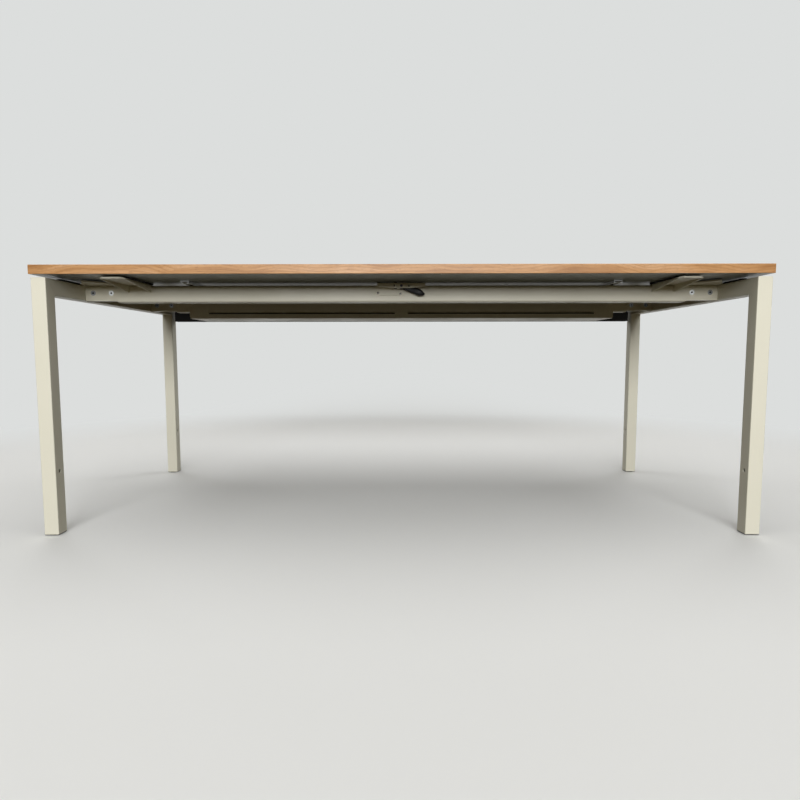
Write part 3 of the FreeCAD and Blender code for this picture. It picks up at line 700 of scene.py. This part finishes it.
# Lock lever: the black paddle that the sitter lifts to free the top, on a hub with an arm for the plunger.
# Moulded in one piece, so paddle, hub and arm run into each other with soft fillets and a rounded tip.
# Nylon, polished by hands, so it is deep black with a clearer sheen than the other mouldings.

MM = 0.001
LEVER_SLOPE = math.radians(-16)
LEVER_STATIONS = (  # in mm: distance from the pivot, height, thickness, and lift off the sloping middle line
    (0.0, 12.0, 10.5, 0.0), (14.0, 15.4, 10.8, 0.7), (24.0, 17.8, 11.4, 1.2), (34.0, 18.4, 12.4, 0.5),
    (44.0, 19.2, 13.2, 0.0), (54.0, 20.0, 13.6, -0.6), (60.0, 18.4, 12.8, -1.3), (65.0, 14.2, 11.2, -1.9),
    (70.0, 9.0, 8.0, -2.0), (73.2, 4.0, 4.0, -1.6),
)
LEVER_SIDES = 24
LEVER_SQUARE = 0.55  # 1 makes the paddle's sections ovals, and 0 makes them rectangles
LEVER_VOXEL = 0.0006
EASE_SHARE, EASE_ROUNDS = 0.5, 6
CREASE_ANGLE = math.radians(50)
BAR_SIDES = 32
HUB_RADIUS = 0.0065
BORE_RADIUS = 0.00305
BORE_PAST = 0.002
NOSE_RADIUS = 0.0027
ARM_HALF = 0.0017
ARM_PAST_PLUNGER = 0.0025
low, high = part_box("lock_lever")
pin_low, pin_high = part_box("lever_pin")
pivot = (pin_low + pin_high) / 2
lever_middle = (low.y + high.y) / 2


def squared(share):
    """A sine or cosine, pushed outwards."""
    return math.copysign(abs(share) ** LEVER_SQUARE, share)


def lever_ring(work, distance, height, thick, lift):
    """A squarish oval across the paddle."""
    reach = distance * MM
    ring = []
    for side in range(LEVER_SIDES):
        angle = math.tau * side / LEVER_SIDES
        u = squared(math.cos(angle)) * thick / 2 * MM
        v = squared(math.sin(angle)) * height / 2 * MM + lift * MM
        ring.append(work.verts.new((
            reach * math.cos(LEVER_SLOPE) - v * math.sin(LEVER_SLOPE) + pivot.x,
            lever_middle + u,
            reach * math.sin(LEVER_SLOPE) + v * math.cos(LEVER_SLOPE) + pivot.z,
        )))
    return ring


def turned(work, x, z, radius, front, back):
    """A closed round bar along Y."""
    angles = [math.tau * side / BAR_SIDES for side in range(BAR_SIDES)]
    closed_loft(work, [
        [work.verts.new((x + radius * math.cos(angle), y, z + radius * math.sin(angle))) for angle in angles]
        for y in (front, back)
    ])


nose_x = low.x + NOSE_RADIUS
arm_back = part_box("lock_plunger")[0].y + ARM_PAST_PLUNGER
work = bmesh.new()
closed_loft(work, [lever_ring(work, *station) for station in LEVER_STATIONS])
turned(work, pivot.x, pivot.z, HUB_RADIUS, low.y, high.y)
turned(work, nose_x, pivot.z, NOSE_RADIUS, low.y, arm_back)
add_block(
    work, (pivot.x - nose_x, arm_back - low.y, 2 * ARM_HALF),
    ((pivot.x + nose_x) / 2, (arm_back + low.y) / 2, pivot.z),
)
bmesh.ops.recalc_face_normals(work, faces=work.faces)
black_handle = moulding("black_polished_nylon", "#09090A", "#0F0F10", dull=0.36, shine=0.14)
lever = new_piece("lock_lever_moulding", work, black_handle, "lever")
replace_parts(lever, "lock_lever")

work = bmesh.new()
turned(work, pivot.x, pivot.z, BORE_RADIUS, low.y - BORE_PAST, high.y + BORE_PAST)
bmesh.ops.recalc_face_normals(work, faces=work.faces)
bore = bpy.data.objects.new("lever_bore", bpy.data.meshes.new("lever_bore"))
work.to_mesh(bore.data)
work.free()
bpy.context.scene.collection.objects.link(bore)
remesh = lever.modifiers.new("one_moulding", "REMESH")
remesh.mode = "VOXEL"
remesh.voxel_size = LEVER_VOXEL
ease = lever.modifiers.new("soft_fillets", "SMOOTH")
ease.factor = EASE_SHARE
ease.iterations = EASE_ROUNDS
drill = lever.modifiers.new("bore", "BOOLEAN")
drill.object = bore
drill.operation = "DIFFERENCE"
drill.solver = "EXACT"
evaluated = lever.evaluated_get(bpy.context.evaluated_depsgraph_get())
lever_mesh = bpy.data.meshes.new_from_object(evaluated)
lever.modifiers.clear()
lever.data = lever_mesh
lever_mesh.materials.clear()
lever_mesh.materials.append(black_handle)
lever_mesh.shade_smooth()
lever_mesh.set_sharp_from_angle(angle=CREASE_ANGLE)
bpy.data.objects.remove(bore)


# Cable tray and hangers: a folded sheet trough under the rear beam, on two flat straps and a middle bracket.
# Cream coated 1.5 mm sheet; straps and bracket are spot welded, which leaves shallow round dimples.

SHEET_EDGE = 0.0003
HANGER_SHEET = 0.002
SPOT_ROWS = (("left_tray_hanger", 3), ("middle_tray_hanger", 2), ("right_tray_hanger", 3))
SPOT_LIFT = 0.007
SPOT_RADIUS = 0.0028
SPOT_RISE = 0.0002
SPOT_DISH = 0.00012
DISH_SHARE, RIM_SHARE = 0.45, 0.8  # the radii of the dish and of the raised rim round it
MIDDLE_SPREAD = 0.7  # the middle bracket's spots stand closer together
for node in ("cable_tray", "left_tray_hanger", "middle_tray_hanger", "right_tray_hanger"):
    softened(node + "_sheet", node, SHEET_EDGE, cream_coat, "frame")

beam_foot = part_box("rear_beam")[0].z
places = []
for node, columns in SPOT_ROWS:
    low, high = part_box(node)
    for column in range(columns):
        x = low.x + (high.x - low.x) * (column + 0.5) / columns
        if node == "middle_tray_hanger":
            x *= MIDDLE_SPREAD
        for foot_z in (low.z, beam_foot):
            places.append((x, high.y - HANGER_SHEET, foot_z + SPOT_LIFT, UNGREYED))
work = bmesh.new()
closed_loft(work, [
    ring_at(work, SPOT_RADIUS * DISH_SHARE, SPOT_DISH - SPOT_RISE),
    ring_at(work, SPOT_RADIUS * RIM_SHARE, -SPOT_RISE),
    ring_at(work, SPOT_RADIUS, SPOT_RISE),
])
bmesh.ops.recalc_face_normals(work, faces=work.faces)
set_fittings("hanger_spot_welds", work, places, cream_coat, "frame")


# Rear cable duct: a black channel for the mains leads on the tray's back, open at the top, which ends just
# short of the rear legs. Folded steel with a black coat, matter than the cream one, so it looks like a
# dark gap from the front.

black_coat = powder_coat("black_powder_coat", "#141311", "#1D1B18", dull=0.55)
softened("rear_cable_channel", "rear_cable_duct", SHEET_EDGE, black_coat, "frame")


# Top board: chipboard with a wood decor sheet pressed on it, melamine with a satin face.
# The core shows nowhere once the bands are on, but has its glued chips, light and dark, with no sheen.

DECOR_TONES = ("#D9AF80", "#CA9A63", "#AC7A45", "#84552C")  # early wood, middle, late wood and pores
CHIP_SIZE = 0.004


def wood_decor(name, tones, along, late_share, dull):
    """A printed wood decor: to the eye long flames, growth rings, fine streaks and short dark pores."""
    flame = (0.30, 0.014)  # length and width of a flame
    line = (0.09, 0.0032)  # short streaks within the rings
    pore = (0.014, 0.0012)  # pores; drawn twice as coarse as they are, to show
    ring = (0.60, 0.0160)  # growth rings: comes out 10 mm apart, twice the real spacing, to show
    bend_size = 0.28
    wander = 0.060
    spread = 0.06
    light, middle, dark, pore_tone = (linear(tone) for tone in tones)
    material, tree, shader, place = new_finish(name, {"IOR": 1.5, "Specular IOR Level": 0.4})
    bend = add_node(tree, "ShaderNodeTexNoise", {"Scale": 1 / bend_size, "Detail": 2.0}, {"Vector": place})
    bent = add_node(
        tree, "ShaderNodeVectorMath", {"operation": "MULTIPLY_ADD", 1: (wander, wander, wander)},
        {0: bend.outputs["Color"], 2: place},
    )
    stretched = []
    for length, width in (flame, line, pore, ring):
        scale = [1 / width] * 3
        scale["XY".index(along)] = 1 / length
        stretched.append(add_node(
            tree, "ShaderNodeMapping", {"Scale": tuple(scale)}, {"Vector": bent.outputs["Vector"]},
        ).outputs["Vector"])
    flames, lines, specks = (
        add_node(
            tree, "ShaderNodeTexNoise", {"Scale": 1.0, "Detail": detail}, {"Vector": drawn},
        ).outputs["Fac"]
        for drawn, detail in zip(stretched, (3.0, 2.0, 0.0))
    )
    ground = add_node(
        tree, "ShaderNodeValToRGB", {"stops": ((0.28, dark), (0.74, light), (0.50, middle))}, {"Fac": flames},
    )
    rings = add_node(
        tree, "ShaderNodeTexWave",
        {"bands_direction": "DIAGONAL", "Scale": 1.0, "Distortion": 3.0, "Detail": 2.0, "Detail Scale": 0.8},
        {"Vector": stretched[3]},
    )
    late_wood = add_node(
        tree, "ShaderNodeMapRange", {"From Min": 0.62, "From Max": 0.98, "To Max": late_share},
        {"Value": rings.outputs["Fac"]},
    )
    ringed = add_node(
        tree, "ShaderNodeMix", {"data_type": "RGBA", 7: dark},
        {0: late_wood.outputs["Result"], 6: ground.outputs["Color"]},
    )
    streaks = add_node(
        tree, "ShaderNodeMapRange", {"From Min": 0.54, "From Max": 0.72, "To Max": 0.5}, {"Value": lines},
    )
    lined = add_node(
        tree, "ShaderNodeMix", {"data_type": "RGBA", 7: dark},
        {0: streaks.outputs["Result"], 6: ringed.outputs[2]},
    )
    pores = add_node(
        tree, "ShaderNodeMapRange", {"From Min": 0.63, "From Max": 0.70, "To Max": 0.35}, {"Value": specks},
    )
    pored = add_node(
        tree, "ShaderNodeMix", {"data_type": "RGBA", 7: pore_tone},
        {0: pores.outputs["Result"], 6: lined.outputs[2]},
    )
    sheen = add_node(
        tree, "ShaderNodeMapRange", {"To Min": dull - spread, "To Max": dull + spread}, {"Value": lines},
    )
    relief = add_node(
        tree, "ShaderNodeBump", {"invert": True, "Strength": 0.15, "Distance": 0.0002},
        {"Height": pores.outputs["Result"]},
    )
    tree.links.new(pored.outputs[2], shader.inputs["Base Color"])
    tree.links.new(sheen.outputs["Result"], shader.inputs["Roughness"])
    tree.links.new(relief.outputs["Normal"], shader.inputs["Normal"])
    return material


coat(wood_decor("wood_decor_lengthwise", DECOR_TONES, "X", late_share=0.6, dull=0.6), "top_laminate")

chip_board, tree, shader, place = new_finish("chipboard", {"IOR": 1.5, "Roughness": 0.85})
chips = add_node(tree, "ShaderNodeTexVoronoi", {"Scale": 1 / CHIP_SIZE}, {"Vector": place})
chip_tones = add_node(
    tree, "ShaderNodeValToRGB", {"stops": ((0.0, linear("#A98558")), (1.0, linear("#D9B98A")))},
    {"Fac": chips.outputs["Color"]},
)
tree.links.new(chip_tones.outputs["Color"], shader.inputs["Base Color"])
coat(chip_board, "top_core")


# Backing sheet: a smooth grey laminate pressed under the board, which keeps it flat.
# It has a faint fleck and a satin face, wiped unevenly, in which beams and arms show as soft reflections.

FLECK_SIZE = 0.002
SMEAR_SIZE = 0.25
BACKING_SHEEN = (0.27, 0.33)
backing, tree, shader, place = new_finish(
    "grey_backing_laminate", {"IOR": 1.5, "Specular IOR Level": 0.15},
)
fleck = add_node(tree, "ShaderNodeTexNoise", {"Scale": 1 / FLECK_SIZE, "Detail": 3.0}, {"Vector": place})
smear = add_node(tree, "ShaderNodeTexNoise", {"Scale": 1 / SMEAR_SIZE, "Detail": 4.0}, {"Vector": place})
backing_tone = add_node(
    tree, "ShaderNodeMix", {"data_type": "RGBA", 6: linear("#84867F"), 7: linear("#7A7C75")},
    {0: fleck.outputs["Fac"]},
)
backing_sheen = add_node(
    tree, "ShaderNodeMapRange", {**NOISE_SPAN, "To Min": BACKING_SHEEN[0], "To Max": BACKING_SHEEN[1]},
    {"Value": smear.outputs["Fac"]},
)
tree.links.new(backing_tone.outputs[2], shader.inputs["Base Color"])
tree.links.new(backing_sheen.outputs["Result"], shader.inputs["Roughness"])
coat(backing, "top_backer")


# Edge bands: 2 mm plastic bands with the same wood print, a little darker and glossier than the top.
# Glued round the board; their grain runs along each edge, so the end bands are printed the other way.

BAND_TONES = ("#CEA276", "#BF8E5A", "#9F6E3C", "#7D4F28")
for name, along, ends in (("lengthwise", "X", ("front", "rear")), ("crosswise", "Y", ("left", "right"))):
    band = wood_decor("wood_edge_band_" + name, BAND_TONES, along, late_share=0.45, dull=0.42)
    coat(band, *[end + "_edge_band" for end in ends])


# Slide rails and stops: two aluminium C profiles screwed under the top, with a grey plug in each end.
# Extruded and left as drawn: pale metal with fine die lines along its length, which drag out its reflections.

DIE_WIDTH = 0.0008  # the real lines are about 0.2 mm wide; drawn coarser, so that they show
DIE_LENGTH = 0.2
DIE_SHEEN = (0.28, 0.48)
mill_aluminium, tree, shader, place = new_finish("drawn_aluminium", {"Metallic": 1.0})
die_place = add_node(
    tree, "ShaderNodeMapping", {"Scale": (1 / DIE_WIDTH, 1 / DIE_LENGTH, 1 / DIE_WIDTH)}, {"Vector": place},
)
die_lines = add_node(
    tree, "ShaderNodeTexNoise", {"Scale": 1.0, "Detail": 2.0}, {"Vector": die_place.outputs["Vector"]},
)
die_tone = add_node(
    tree, "ShaderNodeMix", {"data_type": "RGBA", 6: linear("#C8C9C8"), 7: linear("#B4B6B6")},
    {0: die_lines.outputs["Fac"]},
)
die_sheen = add_node(
    tree, "ShaderNodeMapRange", {"To Min": DIE_SHEEN[0], "To Max": DIE_SHEEN[1]},
    {"Value": die_lines.outputs["Fac"]},
)
tree.links.new(die_tone.outputs[2], shader.inputs["Base Color"])
tree.links.new(die_sheen.outputs["Result"], shader.inputs["Roughness"])
for side in ("left", "right"):
    softened(
        side + "_slide_profile", side + "_slide_rail", SHEET_EDGE, mill_aluminium,
        "sliding_top",
    )
coat(moulding("grey_polypropylene", "#B9BAB6", "#ADAEAA", dull=0.6, shine=0.12), "slide_rail_stops")


# Floor and backdrop: one pale paper sheet that curves up behind the desk, as in a photographer's studio.
# It shows pale and even to the camera and in reflections, fades to one tone far away, and throws back
# as little light as a dull office floor.

FLOOR_SHOWN = "#E4E5E4"
FLOOR_BOUNCE = "#40361F"
BACKDROP_SHOWN = "#DCDEDD"
FADE_FROM, FADE_TO = 1.9, 3.2
WALL_Y = 3.4
WALL_TOP = 6.0
SWEEP = 0.9
SWEEP_STEPS = 16
REACH = 9.0
work = bmesh.new()
outline = [(-REACH, 0.0), (WALL_Y - SWEEP, 0.0)]
for step in range(1, SWEEP_STEPS + 1):
    angle = math.pi / 2 * step / SWEEP_STEPS
    outline.append((WALL_Y - SWEEP + SWEEP * math.sin(angle), SWEEP - SWEEP * math.cos(angle)))
outline.append((WALL_Y, WALL_TOP))
sides = [[work.verts.new((x, y, z)) for y, z in outline] for x in (-REACH, REACH)]
for index in range(len(outline) - 1):
    work.faces.new((sides[0][index], sides[1][index], sides[1][index + 1], sides[0][index + 1]))
backdrop_mesh = bpy.data.meshes.new("studio_sweep")
work.to_mesh(backdrop_mesh)
work.free()
backdrop_mesh.shade_smooth()
backdrop = bpy.data.objects.new("studio_sweep", backdrop_mesh)
bpy.context.scene.collection.objects.link(backdrop)


def seen_rays(tree):
    """1 for rays from the camera, a reflection or a transmission, with no dull bounce before them."""
    rays = add_node(tree, "ShaderNodeLightPath").outputs
    straight = add_node(
        tree, "ShaderNodeMath", {"operation": "MAXIMUM"},
        {0: rays["Is Camera Ray"], 1: rays["Is Glossy Ray"]},
    )
    shown = add_node(
        tree, "ShaderNodeMath", {"operation": "MAXIMUM"},
        {0: straight.outputs[0], 1: rays["Is Transmission Ray"]},
    )
    clear = add_node(tree, "ShaderNodeMath", {"operation": "LESS_THAN", 1: 0.5}, {0: rays["Diffuse Depth"]})
    return add_node(
        tree, "ShaderNodeMath", {"operation": "MULTIPLY"}, {0: shown.outputs[0], 1: clear.outputs[0]},
    ).outputs[0]


paper, tree, shader, place = new_finish("pale_studio_paper", {"Roughness": 0.95, "Specular IOR Level": 0.1})
paper_tone = add_node(
    tree, "ShaderNodeMix", {"data_type": "RGBA", 6: linear(FLOOR_BOUNCE), 7: linear(FLOOR_SHOWN)},
    {0: seen_rays(tree)},
)
tree.links.new(paper_tone.outputs[2], shader.inputs["Base Color"])
away = add_node(tree, "ShaderNodeVectorMath", {"operation": "LENGTH"}, {0: place})
fade = add_node(
    tree, "ShaderNodeMapRange",
    {"interpolation_type": "SMOOTHSTEP", "From Min": FADE_FROM, "From Max": FADE_TO},
    {"Value": away.outputs["Value"]},
)
shown_fade = add_node(
    tree, "ShaderNodeMath", {"operation": "MULTIPLY"}, {0: fade.outputs["Result"], 1: seen_rays(tree)},
)
far_paper = add_node(tree, "ShaderNodeEmission", {"Color": linear(BACKDROP_SHOWN), "Strength": 1.0})
blend = add_node(
    tree, "ShaderNodeMixShader", None,
    {0: shown_fade.outputs[0], 1: shader.outputs["BSDF"], 2: far_paper.outputs["Emission"]},
)
tree.links.new(blend.outputs["Shader"], tree.nodes["Material Output"].inputs["Surface"])
backdrop_mesh.materials.append(paper)


# Light: a wide soft window far in front of the desk, whose sill is a little higher than the top, so that
# the board shades the beam behind it from above; a ceiling panel, and a low warm fill from all round.
# Two weaker windows behind the desk light its back.

FILL = (0.10, 0.09, 0.065, 1.0)
world = bpy.data.worlds.new("studio_fill")
bpy.context.scene.world = world
world.use_nodes = True
tree = world.node_tree
background = tree.nodes["Background"]
sky_tone = add_node(
    tree, "ShaderNodeMix", {"data_type": "RGBA", 6: FILL, 7: linear(BACKDROP_SHOWN)},
    {0: seen_rays(tree)},
)
tree.links.new(sky_tone.outputs[2], background.inputs["Color"])
background.inputs["Strength"].default_value = 1.0


def panel(name, centre, towards, width, height, power):
    """A soft rectangular lamp."""
    lamp = bpy.data.lights.new(name, "AREA")
    lamp.shape = "RECTANGLE"
    lamp.size = width
    lamp.size_y = height
    lamp.energy = power
    holder = bpy.data.objects.new(name, lamp)
    holder.location = centre
    holder.rotation_euler = (Vector(towards) - Vector(centre)).to_track_quat("-Z", "Y").to_euler()
    bpy.context.scene.collection.objects.link(holder)


panel("front_window", centre=(0.0, -9.0, 2.95), towards=(0.0, 0.0, 1.4), width=5.2, height=3.2, power=725.0)
panel("ceiling_panel", centre=(0.0, -0.4, 3.3), towards=(0.0, -0.4, 0.0), width=5.0, height=4.0, power=85.0)
for name, x in (("rear_left_window", -3.0), ("rear_right_window", 3.0)):
    panel(name, centre=(x, 2.7, 2.3), towards=(0.0, 0.0, 0.5), width=2.0, height=1.6, power=40.0)


# Camera: a wide lens at the photograph's height and distance, below the level of the top, so that the
# underside shows. It looks slightly down, with the small turn and tilt of a camera held by hand.

SENSOR = 36.0
PHOTO_WIDTH = 800
FOCAL_PIXELS = 554.6
CAMERA_PLACE = (-0.0014, -1.9562, 0.5082)
PITCH = 0.0847
YAW = 0.0018
ROLL = -0.0012
NEAR, FAR = 0.01, 100.0
camera_data = bpy.data.cameras.new("photo_camera")
camera_data.sensor_width = SENSOR
camera_data.lens = SENSOR * (FOCAL_PIXELS / PHOTO_WIDTH)
camera_data.clip_start = NEAR
camera_data.clip_end = FAR
camera = bpy.data.objects.new("photo_camera", camera_data)
bpy.context.scene.collection.objects.link(camera)
camera.matrix_world = (
    Matrix.Translation(CAMERA_PLACE) @ Matrix.Rotation(YAW, 4, "Z")
    @ Matrix.Rotation(math.pi / 2 - PITCH, 4, "X") @ Matrix.Rotation(ROLL, 4, "Z")
)
bpy.context.scene.camera = camera
bpy.context.scene.view_settings.view_transform = "Standard"
